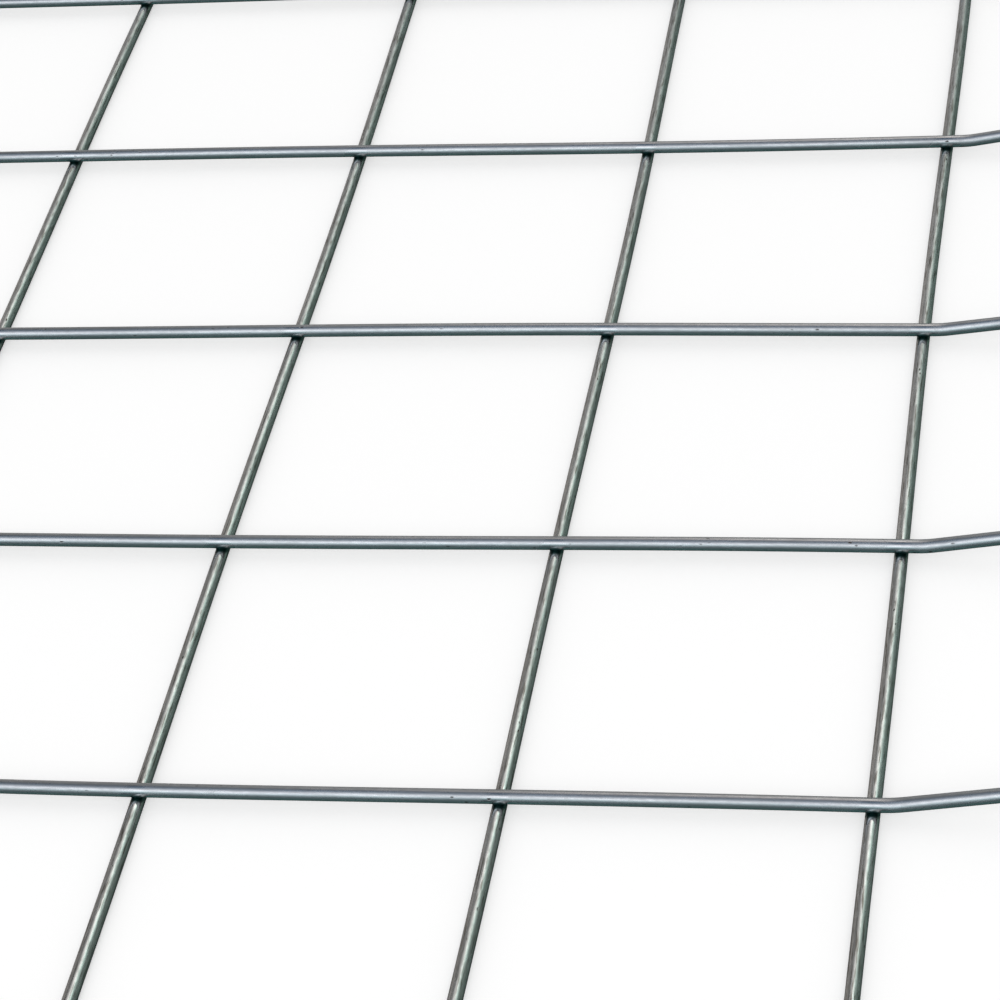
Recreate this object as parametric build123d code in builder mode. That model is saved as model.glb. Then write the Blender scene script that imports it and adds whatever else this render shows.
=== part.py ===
"""Welded wire mesh panel: a flat sheet of galvanised steel wire, 100 x 100 mm mesh of 4 mm wire, 1 m wide and 2 m long.

Two layers of straight wire cross at right angles and are resistance welded where they cross. The line
wires run along the sheet and lie underneath, on the floor. The cross wires run across the sheet, on top
of them. Welding squeezes each crossing, so that the two wires share part of their depth, and the whole
sheet is one piece of metal. The wires stand out past the outermost welds all round, and along one long
edge the ends of the cross wires are turned up a little.

Frame: millimetres, X across the sheet, Y along it, Z up. The origin is the middle of the sheet on the
floor that it lies on, and the turned-up edge is on the +X side.
"""

import os

from build123d import *

# Wire
wire_diameter = 4.0
wire_sides = 8  # each wire is a prism with this even number of flats, one of them facing down

# Mesh
line_wire_spacing = 100.0  # between line wires, across the sheet
line_wire_count = 10
cross_wire_spacing = 100.0  # between cross wires, along the sheet
cross_wire_count = 20

# Wire ends past the outermost welds
side_overhang = 50.0  # of the cross wires
end_overhang = 50.0  # of the line wires

# Weld
weld_set_down = 0.7  # how far the cross wires are squeezed into the line wires

# Turned-up edge
turn_up_angle = 10.0
turn_up_start = 2.0  # from the axis of the last line wire to the start of the bend
turn_up_radius = 30.0  # of the bend, at the wire's own axis

# Worked out from the sizes above
line_wire_reach = (line_wire_count - 1) * line_wire_spacing / 2  # out to the outermost line wires
cross_wire_reach = (cross_wire_count - 1) * cross_wire_spacing / 2
sheet_length = 2 * (cross_wire_reach + end_overhang)
line_wire_height = wire_diameter / 2
cross_wire_height = line_wire_height + wire_diameter - weld_set_down
flat_down = 90 - 180 / wire_sides  # turns a prism so that one flat faces down


def wire_section():
    """The section of one wire, as wide across its flats as the wire is thick."""
    RegularPolygon(wire_diameter / 2, wire_sides, major_radius=False, rotation=flat_down)


with BuildPart() as line_wires:
    with BuildSketch(Plane.XZ.offset(-sheet_length / 2)):
        with Locations((0, line_wire_height)):
            with GridLocations(line_wire_spacing, 0, line_wire_count, 1):
                wire_section()
    extrude(amount=sheet_length)

with BuildPart() as mesh_panel:
    add(line_wires.part)
    with BuildLine(Plane.XZ) as cross_wire_axis:
        straight = Line(
            (-line_wire_reach - side_overhang, cross_wire_height),
            (line_wire_reach + turn_up_start, cross_wire_height),
        )
        bend = JernArc(straight @ 1, straight % 1, turn_up_radius, turn_up_angle)
        Line(
            bend @ 1,
            bend @ 1 + (bend % 1) * (side_overhang - turn_up_start - bend.length),
        )
    with BuildSketch(Plane.YZ.offset(-line_wire_reach - side_overhang)):
        with Locations((0, cross_wire_height)):
            with GridLocations(cross_wire_spacing, 0, cross_wire_count, 1):
                wire_section()
    sweep(path=cross_wire_axis.line)

mesh_panel.part.label = "mesh_panel"

os.makedirs("parts", exist_ok=True)
export_step(mesh_panel.part, "parts/mesh_panel.step")
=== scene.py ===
"""Looks of a welded wire mesh panel: round galvanised steel wires with blended welds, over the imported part.

Every wire is a tube worked out with numpy from the distance along it and the angle round it. Where two
wires cross, both surfaces swell towards each other until they meet in one smooth weld. Lengths are metres,
X across the sheet, Y along it and Z up, with the sheet lying on the floor at z = 0.
"""

import math

import bpy
import numpy as np
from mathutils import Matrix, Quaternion, Vector


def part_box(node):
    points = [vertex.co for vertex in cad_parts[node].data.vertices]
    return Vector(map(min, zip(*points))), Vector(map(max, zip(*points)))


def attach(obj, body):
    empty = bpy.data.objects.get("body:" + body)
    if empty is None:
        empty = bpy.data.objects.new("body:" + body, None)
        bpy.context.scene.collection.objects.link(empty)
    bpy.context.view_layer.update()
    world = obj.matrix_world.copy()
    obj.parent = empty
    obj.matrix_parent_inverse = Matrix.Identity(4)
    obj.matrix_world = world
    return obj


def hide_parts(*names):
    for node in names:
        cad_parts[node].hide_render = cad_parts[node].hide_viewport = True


bl_info = {
    "name": "Welded Wire Mesh Panel",
    "version": (1, 0, 0),
    "blender": (4, 5, 0),
    "location": "3D View > Sidebar > Mesh Panel",
    "description": "Galvanised wires, welds and cut ends of a flat mesh sheet, on a pale studio floor",
    "category": "Add Mesh",
}

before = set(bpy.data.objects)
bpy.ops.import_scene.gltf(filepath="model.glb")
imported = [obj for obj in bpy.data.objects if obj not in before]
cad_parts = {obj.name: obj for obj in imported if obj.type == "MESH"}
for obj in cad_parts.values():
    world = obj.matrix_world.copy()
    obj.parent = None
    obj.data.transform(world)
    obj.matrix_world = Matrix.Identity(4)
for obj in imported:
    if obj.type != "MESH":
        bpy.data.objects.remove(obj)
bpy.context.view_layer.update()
SHEET_LOW, SHEET_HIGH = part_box("mesh_panel")

# Rings and sides of the wires' meshes, with distances along a wire in metres
SIDES = 22
WELD_RINGS = np.array([0.6, 1.1, 1.4, 1.65, 1.95, 2.4, 3.2]) * 1e-3  # to each side of a weld's middle
SPAN_RINGS = 5  # in each clear span between two welds
PAST_LINE_WELD = np.array([0.012, 0.03])  # past the last weld of a line wire
PAST_CROSS_WELD = np.array([4.8, 5.8, 6.8, 7.8, 8.8, 9.8, 11, 20, 34]) * 1e-3  # closest round its bend
RIM_PLACES = np.array([0, 0, 0.18, 1])  # rings of a cut end: how far along, in roundings
RIM_DEPTHS = np.array([1, 0.43, 0])  # the last three of those: how far in from the surface, in roundings
FLAT_RING = 0.5  # radius of the first of them, on the flat, as a share of the wire's
BEHIND_RIM = 4  # one more ring behind each rim, in roundings
SWELLING_STEPS = 14  # rounds of the half-way search for a weld's swelling

# Chance: with the first three seeds, the wires in the photograph's view lie much as they do there
LINE_BOW_SEED = 53635
CROSS_BOW_SEED = 9493
TURN_UP_SEED = 33069
WELD_SEED = 7
MOST_WIRES = 64  # wires of one kind for which a bow is drawn
BOW_WAVES = ((0.83, 0.65), (0.31, 0.35))  # a slow and a quick wave: its length, and its share of the bow
TURN_UP_START_SPREAD = 0.004  # how much later a wire end's bend may start
TURN_UP_ANGLE_SPREAD = 0.22  # share of the angle that a wire end may lack
WELD_BLEND_SPREAD = (0.8, 1.25)  # smallest and largest weld, as shares of the blend

UNROLLED_LENGTH = 3.7  # from where one wire's pattern starts to the next one's, more than a wire's length
END_CLEARANCE = 0.0002  # keeps the slanted, turned-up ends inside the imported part's box


def linear(colour):
    """Turns an sRGB hex colour such as "8c9296" into linear red, green and blue."""
    parts = (int(colour[i : i + 2], 16) / 255 for i in (0, 2, 4))
    return tuple(c / 12.92 if c <= 0.04045 else ((c + 0.055) / 1.055) ** 2.4 for c in parts)


class MeshPanelSizes(bpy.types.PropertyGroup):
    """Sizes of the wires, and of what welding, bending and cutting do to them."""

    wire_diameter: bpy.props.FloatProperty(
        name="Wire diameter", description="Thickness of every wire", default=0.004, unit="LENGTH"
    )
    spacing: bpy.props.FloatProperty(
        name="Spacing",
        description="Distance between neighbouring wires, both ways",
        default=0.1,
        unit="LENGTH",
    )
    line_count: bpy.props.IntProperty(
        name="Line wires", description="Wires along the sheet, underneath", default=10, max=MOST_WIRES
    )
    cross_count: bpy.props.IntProperty(
        name="Cross wires", description="Wires across the sheet, on top", default=20, max=MOST_WIRES
    )
    set_down: bpy.props.FloatProperty(
        name="Set-down",
        description="How far welding squeezes the wires into each other",
        default=0.0007,
        unit="LENGTH",
    )
    weld_blend: bpy.props.FloatProperty(
        name="Weld blend",
        description="Reach of the smooth metal round a weld",
        default=0.0005,
        unit="LENGTH",
    )
    turn_up_start: bpy.props.FloatProperty(
        name="Turn-up start",
        description="From the last line wire's axis to the bend",
        default=0.002,
        unit="LENGTH",
    )
    turn_up_radius: bpy.props.FloatProperty(
        name="Turn-up radius",
        description="Radius of the bend at the wire's axis",
        default=0.03,
        unit="LENGTH",
    )
    turn_up_angle: bpy.props.FloatProperty(
        name="Turn-up angle",
        description="How steeply the wire ends stand up",
        default=math.radians(10),
        subtype="ANGLE",
    )
    bow: bpy.props.FloatProperty(
        name="Bow",
        description="How far a wire wanders sideways from a straight line",
        default=0.0012,
        unit="LENGTH",
    )
    end_rounding: bpy.props.FloatProperty(
        name="End rounding",
        description="Rounded rim of a sheared wire end",
        default=0.00035,
        unit="LENGTH",
    )
    end_slant: bpy.props.FloatProperty(
        name="End slant",
        description="How far the top of a sheared end lies behind its bottom",
        default=0.0005,
        unit="LENGTH",
    )


class MeshPanelFinish(bpy.types.PropertyGroup):
    """Colours, shine and relief of the zinc coat."""

    bright_zinc: bpy.props.FloatVectorProperty(
        name="Bright zinc", description="Clean zinc", default=linear("d6d8da"), subtype="COLOR"
    )
    dull_zinc: bpy.props.FloatVectorProperty(
        name="Dull zinc", description="Zinc gone matt and grey", default=linear("bbbcbd"), subtype="COLOR"
    )
    # Painted shade: the dark teal round each weld stands partly for zinc burnt by the weld, partly for the
    # shade and dark reflection of the crossing wire's underside
    burnt_zinc_and_painted_shade: bpy.props.FloatVectorProperty(
        name="Burnt zinc and painted shade",
        description="Zinc burnt by the weld, darker and teal as painted shade where the wires cross",
        default=linear("4a6a69"),
        subtype="COLOR",
    )
    die_line: bpy.props.FloatVectorProperty(
        name="Die lines",
        description="Thin dark streaks along the wire",
        default=linear("7f7c78"),
        subtype="COLOR",
    )
    pit: bpy.props.FloatVectorProperty(
        name="Pits",
        description="Dark specks where the coat is broken",
        default=linear("524c49"),
        subtype="COLOR",
    )
    roughness: bpy.props.FloatProperty(
        name="Roughness",
        description="Roughness of clean zinc",
        default=0.27,
        min=0.0,
        max=1.0,
        subtype="FACTOR",
    )
    relief: bpy.props.FloatProperty(
        name="Relief",
        description="Full height of the coat's relief, of which streaks, waves and pits have shares",
        default=0.00012,
        unit="LENGTH",
    )


class MeshPanelStudio(bpy.types.PropertyGroup):
    """The floor and its light, and where the camera stands."""

    floor: bpy.props.FloatVectorProperty(
        name="Floor", description="Matt white floor", default=linear("f2f2f2"), subtype="COLOR"
    )
    floor_glow: bpy.props.FloatProperty(
        name="Floor glow", description="Light that the floor gives off, which keeps it white", default=0.5
    )
    room_light: bpy.props.FloatProperty(
        name="Room light", description="Strength of the even light from all round", default=0.53
    )
    softbox_power: bpy.props.FloatProperty(
        name="Softbox power", description="Power of the softbox overhead", default=30.0, unit="POWER"
    )
    softbox_size: bpy.props.FloatProperty(
        name="Softbox size", description="Diameter of the softbox overhead", default=3.0, unit="LENGTH"
    )
    softbox_place: bpy.props.FloatVectorProperty(
        name="Softbox place",
        description="Middle of the softbox overhead",
        default=(1.0, -2.8, 2.8),
        subtype="TRANSLATION",
        unit="LENGTH",
    )
    lens: bpy.props.FloatProperty(
        name="Lens",
        description="Focal length on a 36 mm sensor, in millimetres",
        default=116.585,
        unit="CAMERA",
    )
    azimuth: bpy.props.FloatProperty(
        name="Azimuth",
        description="Camera's turn round the sheet, from looking along +Y",
        default=math.radians(16.113),
        subtype="ANGLE",
    )
    elevation: bpy.props.FloatProperty(
        name="Elevation",
        description="Camera's angle above the floor",
        default=math.radians(39.956),
        subtype="ANGLE",
    )
    roll: bpy.props.FloatProperty(
        name="Roll",
        description="Camera's turn about its line of sight",
        default=math.radians(-10.194),
        subtype="ANGLE",
    )
    distance: bpy.props.FloatProperty(
        name="Distance",
        description="From the camera to the point that it looks at",
        default=0.95228,
        unit="LENGTH",
    )
    look_at: bpy.props.FloatVectorProperty(
        name="Look at",
        description="Point that the camera looks at",
        default=(0.33076, -0.03039, 0.0053),
        subtype="TRANSLATION",
        unit="LENGTH",
    )


def line_wire_places(sizes):
    """The x of each line wire's axis, and their height: they lie on the floor."""
    x = (np.arange(sizes.line_count) - (sizes.line_count - 1) / 2) * sizes.spacing
    return x, sizes.wire_diameter / 2


def cross_wire_places(sizes):
    """The y of each cross wire's axis, and their height: one thickness up, less what the weld squeezes."""
    y = (np.arange(sizes.cross_count) - (sizes.cross_count - 1) / 2) * sizes.spacing
    return y, sizes.wire_diameter * 1.5 - sizes.set_down


def wander(wire, along, amount, seed):
    """Sideways bow of a wire: a slow and a quicker sine wave along it, with phases of the wire's own."""
    phases = np.random.default_rng(seed).uniform(0, 2 * np.pi, (len(BOW_WAVES), MOST_WIRES))
    waves = (
        share * np.sin(2 * np.pi * along / length + phase[wire])
        for (length, share), phase in zip(BOW_WAVES, phases)
    )
    return amount * sum(waves)


def line_wire_x(wire, y, sizes):
    """The x of a line wire's axis at distance y along the sheet: its place plus its bow."""
    return line_wire_places(sizes)[0][wire] + wander(wire, y, sizes.bow, LINE_BOW_SEED)


def cross_wire_y(wire, x, sizes):
    """The y of a cross wire's axis at distance x across the sheet: its place plus its bow."""
    return cross_wire_places(sizes)[0][wire] + wander(wire, x, sizes.bow, CROSS_BOW_SEED)


def turn_ups(sizes):
    """Start and angle of the bend at the end of each cross wire: none is bent quite like its neighbours."""
    chance = np.random.default_rng(TURN_UP_SEED).uniform(0, 1, (2, sizes.cross_count))
    starts = sizes.turn_up_start + TURN_UP_START_SPREAD * chance[0]
    return starts, sizes.turn_up_angle * (1 - TURN_UP_ANGLE_SPREAD * chance[1])


def weld_blends(sizes):
    """Reach of the smooth metal at each weld, by line wire and cross wire: no two welds are quite alike."""
    welds = (sizes.line_count, sizes.cross_count)
    return np.random.default_rng(WELD_SEED).uniform(*WELD_BLEND_SPREAD, welds) * sizes.weld_blend


def nearest_wire(distance, places, spacing):
    """Number of the wire nearest to each distance, measured across wires that are evenly spaced."""
    return np.clip(np.rint((distance - places[0]) / spacing).astype(int), 0, len(places) - 1)


def ring_distances(welds, ends, past_last_weld, rounding):
    """Distances along each wire at which it has a ring of points, wire by wire.

    They are close together round each weld, mirrored about its middle, and evenly spread over the clear
    spans. At each cut end, four rings make the flat and the rounded rim, with one more behind them.
    """
    near = welds[:, :, None] + np.concatenate([-WELD_RINGS[::-1], [0], WELD_RINGS])
    spread = np.arange(1, SPAN_RINGS + 1) / (SPAN_RINGS + 1)
    span = near[:, :-1, -1:] + (near[:, 1:, :1] - near[:, :-1, -1:]) * spread
    inner = np.concatenate([near[:, :-1], span], axis=2).reshape(len(welds), -1)
    rim = np.append(RIM_PLACES, BEHIND_RIM) * rounding
    every = np.ones((len(welds), 1))
    start = every * (ends[0] + rim)
    end = every * (ends[1] - rim[::-1])
    return np.concatenate([start, inner, near[:, -1], welds[:, -1:] + past_last_weld, end], axis=1)


def ring_radii(count, radius, rounding):
    """Radius of each ring: the wire's own, but for the four at each cut end, which go round the rim."""
    rim = np.append(radius * FLAT_RING, radius - rounding * RIM_DEPTHS)
    return np.concatenate([rim, np.full(count - 2 * len(rim), radius), rim[::-1]])


def swollen_tube(path, wires, along, turns, radii, slant, gap_to_other, blend_at):
    """Points of round wires that swell into one smooth weld with every wire that they cross.

    A point is the path's axis point at its distance along, plus its radius times (side cos a + up sin a),
    with a the angle round the ring. Near a crossing the radius grows by d = k h h / 4, with
    h = 1 - |d - g| / k but not below 0, g the distance from the other wire's surface and k the weld's
    blend: the smooth union of two round wires. Since g changes as the point moves, d is found by going
    half way to the answer several times over. The top of a cut end lies behind its bottom by the slant.
    """
    rim = len(RIM_PLACES)
    back = np.zeros(along.shape[1])
    back[:rim] = slant / 2
    back[-rim:] = -slant / 2
    axis, side, up = path(wires, along[:, :, None] + back[:, None] * (1 + np.sin(turns)))
    outward = side * np.cos(turns)[:, None] + up * np.sin(turns)[:, None]
    grown = np.zeros(axis.shape[:3])
    for _ in range(SWELLING_STEPS):
        points = axis + outward * (radii[:, None] + grown)[..., None]
        blend = blend_at(points)
        reach = np.maximum(1 - np.abs(grown - gap_to_other(points)) / blend, 0)
        grown = (grown + reach**2 * blend / 4) / 2
    points = axis + outward * (radii[:, None] + grown)[..., None]
    return points, gap_to_other(points)


def tube_mesh(name, points, attributes):
    """Makes one mesh of closed tubes from points by wire, ring and turn, with a middle point in each end."""
    wires, rings, turns = points.shape[:3]
    grid = np.arange(wires * rings * turns).reshape(wires, rings, turns)
    onward = np.roll(grid, -1, axis=2)
    pole = grid.size + np.arange(wires * 2).reshape(wires, 2, 1)
    walls = np.stack([grid[:, :-1], grid[:, 1:], onward[:, 1:], onward[:, :-1]], axis=-1).reshape(-1, 4)
    near_caps = np.stack([grid[:, 0], onward[:, 0], np.repeat(pole[:, 0], turns, 1)], axis=-1)
    far_caps = np.stack([onward[:, -1], grid[:, -1], np.repeat(pole[:, 1], turns, 1)], axis=-1)
    caps = np.concatenate([near_caps.reshape(-1, 3), far_caps.reshape(-1, 3)])
    starts = np.concatenate([np.arange(len(walls)) * 4, walls.size + np.arange(len(caps)) * 3])

    def with_poles(values):
        """The values of all the rings' points, then those of the middle points: the mean round each end."""
        middles = values[:, [0, -1]].mean(axis=2)
        return np.concatenate([values.reshape(grid.size, -1), middles.reshape(pole.size, -1)]).ravel()

    mesh = bpy.data.meshes.new(name)
    mesh.vertices.add(grid.size + pole.size)
    mesh.vertices.foreach_set("co", with_poles(points))
    mesh.loops.add(walls.size + caps.size)
    mesh.loops.foreach_set("vertex_index", np.concatenate([walls.ravel(), caps.ravel()]))
    mesh.polygons.add(len(starts))
    mesh.polygons.foreach_set("loop_start", starts)
    mesh.update(calc_edges=True)
    for title, kind, socket, values in attributes:
        mesh.attributes.new(title, kind, "POINT").data.foreach_set(socket, with_poles(values))
    if mesh.validate():
        raise RuntimeError(f"the mesh of {name} had faults")
    mesh.shade_smooth()
    return mesh


def wire_piece(
    context, name, path, welds, ends, past_last_weld, gap_to_other, blend_at, pattern_from, scored
):
    """Builds a group of like wires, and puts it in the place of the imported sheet.

    Three attributes guide the material. The vector along_wire is the distance along the wire, with each
    wire's own start and the group's added, and the two coordinates across the wire. The vector round_wire
    points round it, and weld_gap is the distance in millimetres to the surface of the wire that it crosses.
    """
    sizes = context.scene.mesh_panel_sizes
    wires = np.arange(len(welds))[:, None, None]
    along = ring_distances(welds, ends, past_last_weld, sizes.end_rounding)
    turns = np.arange(SIDES) / SIDES * 2 * np.pi
    radii = ring_radii(along.shape[1], sizes.wire_diameter / 2, sizes.end_rounding)
    points, gap = swollen_tube(
        path, wires, along, turns, radii, sizes.end_slant, gap_to_other, blend_at
    )
    own = (
        along[:, :, None] + UNROLLED_LENGTH * wires + pattern_from,
        radii[:, None] * np.cos(turns),
        radii[:, None] * np.sin(turns),
    )
    unrolled = np.stack([np.broadcast_to(part, gap.shape) for part in own], axis=-1)
    round_wire = np.roll(points, -1, axis=2) - np.roll(points, 1, axis=2)
    round_wire /= np.linalg.norm(round_wire, axis=-1, keepdims=True)
    attributes = (
        ("along_wire", "FLOAT_VECTOR", "vector", unrolled),
        ("round_wire", "FLOAT_VECTOR", "vector", round_wire),
        ("weld_gap", "FLOAT", "value", gap * 1000),
    )
    mesh = tube_mesh(name, points, attributes)
    mesh.materials.append(galvanised_steel_wire(name, scored, context.scene.mesh_panel_finish))
    piece = bpy.data.objects.new(name, mesh)
    context.scene.collection.objects.link(piece)
    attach(piece, "root")
    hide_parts("mesh_panel")


def add(tree, kind, sockets, output=0, **settings):
    """Adds one node to a tree, and gives the output asked for.

    Each socket named gets its value, or a link where that is another node's output.
    """
    made = tree.nodes.new(kind)
    for name, value in settings.items():
        setattr(made, name, value)
    for socket, value in sockets.items():
        if isinstance(value, bpy.types.NodeSocket):
            tree.links.new(value, made.inputs[socket])
        else:
            made.inputs[socket].default_value = value
    return made.outputs[output] if made.outputs else None


MIX_FACTOR, MIX_A, MIX_B, MIX_COLOUR = 0, 6, 7, 2  # sockets of a Mix node that mixes colours


def galvanised_steel_wire(wires, scored, finish):
    """Galvanised steel wire, drawn through a die and coated with zinc, and scored that much, from 0 to 1.

    Drawing leaves streaks along the wire, so that its shine is spread round the wire and stays sharp along
    it. The zinc is bright in some stretches and dull in others, and has small dark pits. At each weld it is
    matt, and dark and teal: partly zinc burnt by the weld, partly painted shade and painted reflection of the
    crossing wire's dark underside. It is remelted and bright just past that.
    """
    material = bpy.data.materials.new("Galvanised steel wire, " + wires.replace("_", " "))
    material.use_nodes = True
    tree = material.node_tree
    tree.nodes.clear()
    along_wire = add(tree, "ShaderNodeAttribute", {}, "Vector", attribute_name="along_wire")
    weld_gap = add(tree, "ShaderNodeAttribute", {}, "Fac", attribute_name="weld_gap")
    round_wire = add(tree, "ShaderNodeAttribute", {}, "Vector", attribute_name="round_wire")

    pattern = {}
    for name, kind, length, width, detail in (  # length along the wire and width across it in mm
        ("streaks", "Noise", 16, 0.8, 3),  # die marks, drawn wider than the real ones so that they show
        ("die lines", "Noise", 7, 0.45, 2),  # short ones that hold dirt, drawn wider too
        ("waves", "Noise", 14, 2.6, 1),  # slow unevenness of the coat
        ("patches", "Noise", 38, 7, 2),  # bright and dull stretches
        ("mottle", "Noise", 2.4, 0.7, 2),  # zinc crystals, run together along the wire
        ("pitted", "Noise", 24, 5, 1),  # stretches where the coat has pits
        ("grit", "Noise", 0.9, 0.4, 1),  # makes the pits ragged
        ("cells", "Voronoi", 3.4, 1.5, 0),  # one pit in each
    ):
        scale = (1000 / length, 1000 / width, 1000 / width)
        place = add(tree, "ShaderNodeMapping", {"Vector": along_wire, "Scale": scale})
        sockets = {"Vector": place, "Scale": 1.0, "Detail": detail}
        pattern[name] = add(tree, "ShaderNodeTex" + kind, sockets)
    ragged = add(
        tree, "ShaderNodeMath", {0: pattern["grit"], 1: 0.3, 2: pattern["cells"]}, operation="MULTIPLY_ADD"
    )
    uneven = add(tree, "ShaderNodeMix", {0: 0.5, 2: pattern["streaks"], 3: pattern["patches"]})
    uneven = add(tree, "ShaderNodeMix", {0: 0.35, 2: uneven, 3: pattern["mottle"]})

    mask = {}
    for name, source, none, full in (
        ("dull", uneven, 0.4, 0.6),
        ("die lines", pattern["die lines"], 0.5, 0.72),
        ("pits", ragged, 0.38, 0.22),
        ("pitted", pattern["pitted"], 0.58, 0.68),
        # Near each crossing: partly weld burn, partly painted shade where the other wire's underside darkens
        # the zinc
        ("burnt_and_shaded", weld_gap, 1.9, 0.7),
        ("remelted", weld_gap, 4.5, 2.6),
    ):
        sockets = {"Value": source, "From Min": none, "From Max": full}
        mask[name] = add(tree, "ShaderNodeMapRange", sockets, interpolation_type="SMOOTHSTEP")
    for name, share in (("pits", mask["pitted"]), ("die lines", scored), ("dull", 0.5 + 0.5 * scored)):
        mask[name] = add(tree, "ShaderNodeMath", {0: mask[name], 1: share}, operation="MULTIPLY")

    colour = (*finish.bright_zinc, 1)
    for name, tint in (
        ("dull", finish.dull_zinc),
        ("die lines", finish.die_line),
        # Dark teal near each crossing: painted shade and painted reflection, partly weld burn
        ("burnt_and_shaded", finish.burnt_zinc_and_painted_shade),
        ("pits", finish.pit),
    ):
        sockets = {MIX_FACTOR: mask[name], MIX_A: colour, MIX_B: (*tint, 1)}
        colour = add(tree, "ShaderNodeMix", sockets, MIX_COLOUR, data_type="RGBA")
    roughness = finish.roughness
    for name, change in (("dull", 0.05), ("remelted", -0.1), ("burnt_and_shaded", 0.15), ("pits", 0.15)):
        sockets = {0: mask[name], 1: change, 2: roughness}
        roughness = add(tree, "ShaderNodeMath", sockets, operation="MULTIPLY_ADD")
    height = 0.0
    for source, share in (
        (pattern["streaks"], 0.17 * scored),
        (pattern["waves"], 0.2 + 0.22 * scored),
        (pattern["mottle"], 0.08 * scored),
        (mask["pits"], -0.5),
    ):
        height = add(tree, "ShaderNodeMath", {0: source, 1: share, 2: height}, operation="MULTIPLY_ADD")
    bump = add(tree, "ShaderNodeBump", {"Height": height, "Strength": 1.0, "Distance": finish.relief})
    sockets = {
        "Base Color": colour,
        "Roughness": roughness,
        "Normal": bump,
        "Tangent": round_wire,
        "Metallic": 1.0,
        "Anisotropic": 0.8,
    }
    shader = add(tree, "ShaderNodeBsdfPrincipled", sockets)
    add(tree, "ShaderNodeOutputMaterial", {"Surface": shader})
    return material


class MESHPANEL_OT_line_wires(bpy.types.Operator):
    """Builds the wires along the sheet, which lie on the floor"""

    bl_idname = "mesh_panel.line_wires"
    bl_label = "Line Wires"
    bl_options = {"REGISTER", "UNDO"}

    def execute(self, context):
        sizes = context.scene.mesh_panel_sizes
        places, height = line_wire_places(sizes)
        other, other_height = cross_wire_places(sizes)
        blends = weld_blends(sizes)
        wires = np.arange(len(places))[:, None, None]

        def path(wire, along):
            """Along y at one height, with the wire's bow in x."""
            x = line_wire_x(wire, along, sizes)
            axis = np.stack([x, along, np.full_like(x, height)], axis=-1)
            return axis, np.array([1.0, 0, 0]), np.array([0, 0, 1.0])

        def gap_to_cross_wire(points):
            """Distance from the nearest cross wire's axis, less its radius."""
            nearest = nearest_wire(points[..., 1], other, sizes.spacing)
            aside = points[..., 1] - cross_wire_y(nearest, points[..., 0], sizes)
            return np.hypot(aside, points[..., 2] - other_height) - sizes.wire_diameter / 2

        def blend_at(points):
            """Blend of the weld with the nearest cross wire."""
            return blends[wires, nearest_wire(points[..., 1], other, sizes.spacing)]

        wire_piece(
            context,
            name="line_wires",
            path=path,
            welds=cross_wire_y(np.arange(len(other))[None], places[:, None], sizes),
            ends=(SHEET_LOW.y, SHEET_HIGH.y),
            past_last_weld=PAST_LINE_WELD,
            gap_to_other=gap_to_cross_wire,
            blend_at=blend_at,
            pattern_from=0.0,
            scored=1.0,
        )
        return {"FINISHED"}


class MESHPANEL_OT_cross_wires(bpy.types.Operator):
    """Builds the wires across the sheet, which lie on the line wires and turn up past the last one"""

    bl_idname = "mesh_panel.cross_wires"
    bl_label = "Cross Wires"
    bl_options = {"REGISTER", "UNDO"}

    def execute(self, context):
        sizes = context.scene.mesh_panel_sizes
        places, height = cross_wire_places(sizes)
        other, other_height = line_wire_places(sizes)
        blends = weld_blends(sizes)
        wires = np.arange(len(places))[:, None, None]
        starts, angles = turn_ups(sizes)

        def path(wire, along):
            """Straight, then an arc, then straight on: the turn grows with the distance into the bend."""
            bend_from = other[-1] + starts[wire]
            turn = np.clip((along - bend_from) / sizes.turn_up_radius, 0, angles[wire])
            beyond = np.maximum(along - bend_from - sizes.turn_up_radius * angles[wire], 0)
            x = np.minimum(along, bend_from) + sizes.turn_up_radius * np.sin(turn) + beyond * np.cos(turn)
            z = height + sizes.turn_up_radius * (1 - np.cos(turn)) + beyond * np.sin(turn)
            axis = np.stack([x, cross_wire_y(wire, x, sizes), z], axis=-1)
            up = np.stack([-np.sin(turn), np.zeros_like(turn), np.cos(turn)], axis=-1)
            return axis, np.array([0, -1.0, 0]), up

        def gap_to_line_wire(points):
            """Distance from the nearest line wire's axis, less its radius."""
            nearest = nearest_wire(points[..., 0], other, sizes.spacing)
            aside = points[..., 0] - line_wire_x(nearest, points[..., 1], sizes)
            return np.hypot(aside, points[..., 2] - other_height) - sizes.wire_diameter / 2

        def blend_at(points):
            """Blend of the weld with the nearest line wire."""
            return blends[nearest_wire(points[..., 0], other, sizes.spacing), wires]

        wire_piece(
            context,
            name="cross_wires",
            path=path,
            welds=line_wire_x(np.arange(len(other))[None], places[:, None], sizes),
            ends=(SHEET_LOW.x, -SHEET_LOW.x - END_CLEARANCE),
            past_last_weld=PAST_CROSS_WELD,
            gap_to_other=gap_to_line_wire,
            blend_at=blend_at,
            pattern_from=60.0,
            scored=0.15,
        )
        return {"FINISHED"}


class MESHPANEL_OT_studio(bpy.types.Operator):
    """Sets up the pale floor, the soft light, what the zinc mirrors and the camera"""

    bl_idname = "mesh_panel.studio"
    bl_label = "Studio"
    bl_options = {"REGISTER", "UNDO"}

    def execute(self, context):
        studio = context.scene.mesh_panel_studio
        white_floor(studio, context.scene)
        mirrored_room(context.scene)
        soft_light(studio, context.scene)
        photograph_camera(studio, context.scene)
        context.scene.view_settings.view_transform = "Standard"
        return {"FINISHED"}


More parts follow.
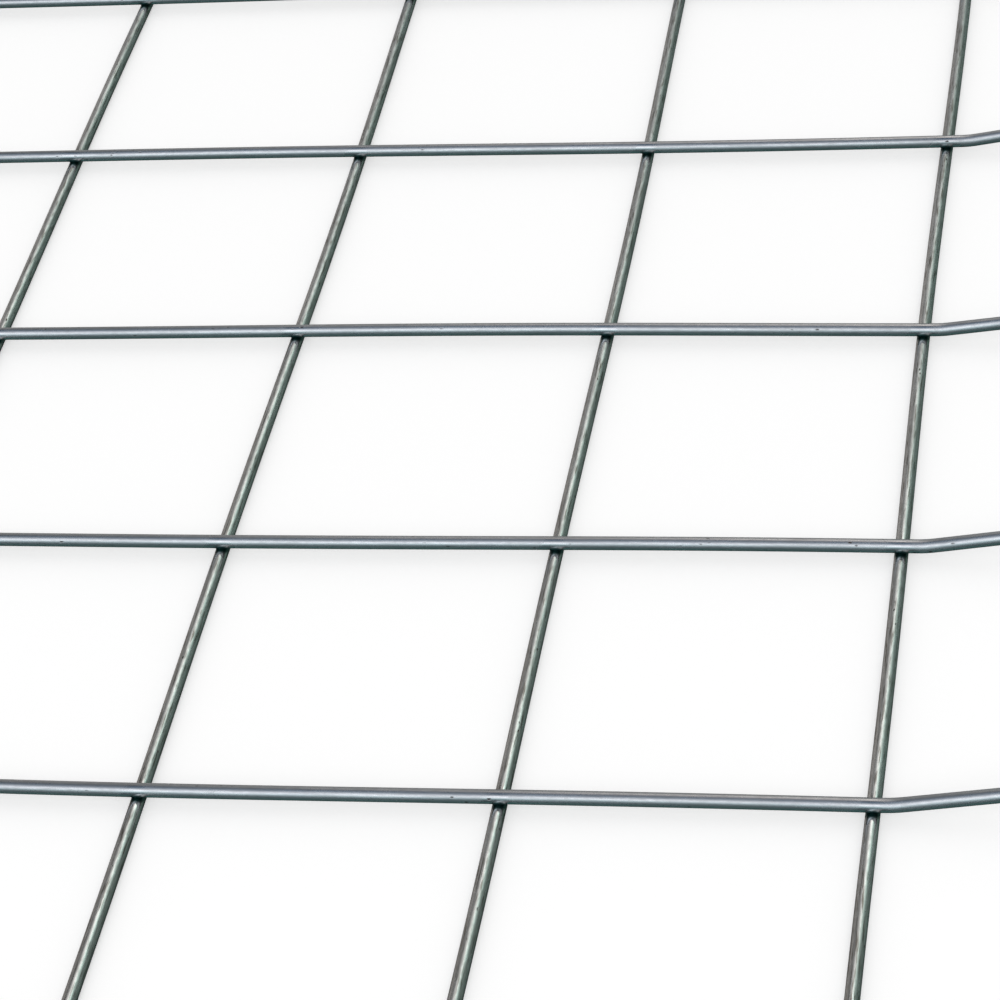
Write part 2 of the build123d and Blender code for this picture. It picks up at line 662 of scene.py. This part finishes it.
def white_floor(studio, scene):
    """A matt white board, 60 m square, with its top at z = 0.

    It has no shine, so that the eye sees an even ground with faint shadows. The zinc doesn't mirror it.
    """
    reach = 30.0  # from its middle to each side
    corners = [(-reach, -reach, 0), (reach, -reach, 0), (reach, reach, 0), (-reach, reach, 0)]
    mesh = bpy.data.meshes.new("studio_floor")
    mesh.from_pydata(corners, [], [(0, 1, 2, 3)])
    floor = bpy.data.objects.new("studio_floor", mesh)
    scene.collection.objects.link(floor)
    floor.visible_glossy = False
    material = bpy.data.materials.new("Matt white board")
    material.use_nodes = True
    board = material.node_tree.nodes["Principled BSDF"].inputs
    board["Base Color"].default_value = (*studio.floor, 1)
    board["Roughness"].default_value = 0.9
    board["Specular IOR Level"].default_value = 0.0
    board["Emission Color"].default_value = (*studio.floor, 1)
    board["Emission Strength"].default_value = studio.floor_glow
    mesh.materials.append(material)


# What the zinc mirrors, each a soft patch of light: towards it (x, y, z), how narrow it is, colour, strength
MIRRORED = (
    ((-0.22, -0.93, 0.3), 20, "a3e8ee", 0.42),
    ((-0.22, -0.75, 0.63), 17, "f4f3f8", 1.74),
    ((-0.22, -0.95, -0.2), 12, "d8e4f4", 0.1),
    ((-0.22, -0.15, 0.96), 8, "a8ccf0", 0.27),
    ((-0.22, 0.97, 0.1), 9, "f0f4f8", 0.25),
    ((0.3, 0.64, 0.707), 30, "ccffee", 1.02),
    ((0.08, 0.64, 0.764), 30, "ffece8", 1.6),
    ((-0.12, 0.735, 0.66), 30, "c8e0dc", 0.22),
    ((-0.67, 0.735, 0.0), 9, "fdf3e9", 0.38),
    ((0.66, 0.735, -0.1), 9, "d4ffed", 0.19),
    ((-0.2, -0.4, -0.9), 6, "a8f0ec", 0.15),
    ((-0.93, -0.3, 0.25), 9, "eef2fa", 0.8),
    ((-0.72, -0.4, 0.57), 20, "eef2f6", 1.3),
    ((0.95, -0.1, 0.3), 9, "f4f2ec", 0.7),
    ((0.68, -0.68, 0.26), 7, "eef2f4", 0.8),
)


def mirrored_room(scene):
    """A ball round the sheet that only mirroring metal sees: soft patches of light in a dark room.

    Its points are its radius times (cos u cos v, sin u cos v, sin v), with u going round and v from bottom
    to top. A patch shines by the exponential of its narrowness times (the cosine of the angle from its
    middle, less 1). The patches give the eye each wire's bright line and tint, and the dark its edges.
    """
    radius = 30
    steps = 64  # round it, and twice as many as from bottom to top
    u = np.arange(steps) / steps * 2 * np.pi
    v = np.linspace(-0.5, 0.5, steps // 2 + 1)[1:-1, None] * np.pi
    points = np.stack([np.cos(u) * np.cos(v), np.sin(u) * np.cos(v), np.sin(v) + 0 * u], axis=-1)
    mesh = tube_mesh("mirrored_room", radius * points[None], ())
    room = bpy.data.objects.new("mirrored_room", mesh)
    scene.collection.objects.link(room)
    room.visible_camera = room.visible_diffuse = room.visible_shadow = False
    room.visible_transmission = room.visible_volume_scatter = False
    material = bpy.data.materials.new("Mirrored room")
    material.use_nodes = True
    tree = material.node_tree
    tree.nodes.clear()
    place = add(tree, "ShaderNodeTexCoord", {}, "Object")
    towards = add(tree, "ShaderNodeVectorMath", {0: place}, operation="NORMALIZE")
    total = (0.0, 0.0, 0.0)
    for direction, narrow, colour, strength in MIRRORED:
        sockets = {0: towards, 1: Vector(direction).normalized()}
        facing = add(tree, "ShaderNodeVectorMath", sockets, "Value", operation="DOT_PRODUCT")
        fall = add(tree, "ShaderNodeMath", {0: facing, 1: narrow, 2: -narrow}, operation="MULTIPLY_ADD")
        patch = add(tree, "ShaderNodeMath", {0: fall}, operation="EXPONENT")
        sockets = {0: patch, 1: Vector(linear(colour)) * strength, 2: total}
        total = add(tree, "ShaderNodeVectorMath", sockets, operation="MULTIPLY_ADD")
    glow = add(tree, "ShaderNodeEmission", {"Color": total, "Strength": 1.0})
    add(tree, "ShaderNodeOutputMaterial", {"Surface": glow})
    mesh.materials.append(material)


def soft_light(studio, scene):
    """Even white light from all round for the floor, and one large softbox overhead for gentle shadows."""
    world = bpy.data.worlds.new("Soft white light")
    scene.world = world
    world.use_nodes = True
    background = world.node_tree.nodes["Background"].inputs
    background["Color"].default_value = (*linear("fbfbfb"), 1)
    background["Strength"].default_value = studio.room_light
    world.cycles_visibility.glossy = False
    lamp = bpy.data.lights.new("softbox", "AREA")
    lamp.shape = "DISK"
    lamp.size = studio.softbox_size
    lamp.energy = studio.softbox_power
    softbox = bpy.data.objects.new("softbox", lamp)
    softbox.location = studio.softbox_place
    softbox.rotation_euler = (-softbox.location).to_track_quat("-Z", "Y").to_euler()
    softbox.visible_camera = softbox.visible_glossy = False
    scene.collection.objects.link(softbox)


def photograph_camera(studio, scene):
    """The photograph's camera: close above the turned-up edge, with a long lens, tilted a little."""
    camera = bpy.data.objects.new("camera", bpy.data.cameras.new("camera"))
    camera.data.lens = studio.lens
    camera.data.sensor_width = 36
    camera.data.clip_start = 0.05
    camera.data.clip_end = 200
    level = math.cos(studio.elevation)
    back = Vector(
        (math.sin(studio.azimuth) * level, -math.cos(studio.azimuth) * level, math.sin(studio.elevation))
    )
    camera.location = Vector(studio.look_at) + back * studio.distance
    camera.rotation_mode = "QUATERNION"
    camera.rotation_quaternion = (-back).to_track_quat("-Z", "Y") @ Quaternion((0, 0, 1), studio.roll)
    scene.collection.objects.link(camera)
    scene.camera = camera


class MESHPANEL_PT_sidebar(bpy.types.Panel):
    """Sidebar panel with the sheet's sizes and colours, and a button for each group of wires"""

    bl_idname = "MESHPANEL_PT_sidebar"
    bl_label = "Mesh Panel"
    bl_space_type = "VIEW_3D"
    bl_region_type = "UI"
    bl_category = "Mesh Panel"

    def draw(self, context):
        layout = self.layout
        for group in PROPERTY_GROUPS:
            values = getattr(context.scene, group)
            box = layout.box()
            for name in values.__annotations__:
                box.prop(values, name)
        for operator in OPERATORS:
            layout.operator(operator.bl_idname)


PROPERTY_GROUPS = {
    "mesh_panel_sizes": MeshPanelSizes,
    "mesh_panel_finish": MeshPanelFinish,
    "mesh_panel_studio": MeshPanelStudio,
}
OPERATORS = (MESHPANEL_OT_studio, MESHPANEL_OT_line_wires, MESHPANEL_OT_cross_wires)


def register():
    for made in (*PROPERTY_GROUPS.values(), *OPERATORS, MESHPANEL_PT_sidebar):
        bpy.utils.register_class(made)
    for name, group in PROPERTY_GROUPS.items():
        setattr(bpy.types.Scene, name, bpy.props.PointerProperty(type=group))


def unregister():
    for name in PROPERTY_GROUPS:
        delattr(bpy.types.Scene, name)
    for made in (MESHPANEL_PT_sidebar, *OPERATORS, *PROPERTY_GROUPS.values()):
        bpy.utils.unregister_class(made)


def main():
    register()
    bpy.ops.mesh_panel.studio()
    bpy.ops.mesh_panel.line_wires()
    bpy.ops.mesh_panel.cross_wires()


if __name__ == "__main__":
    main()
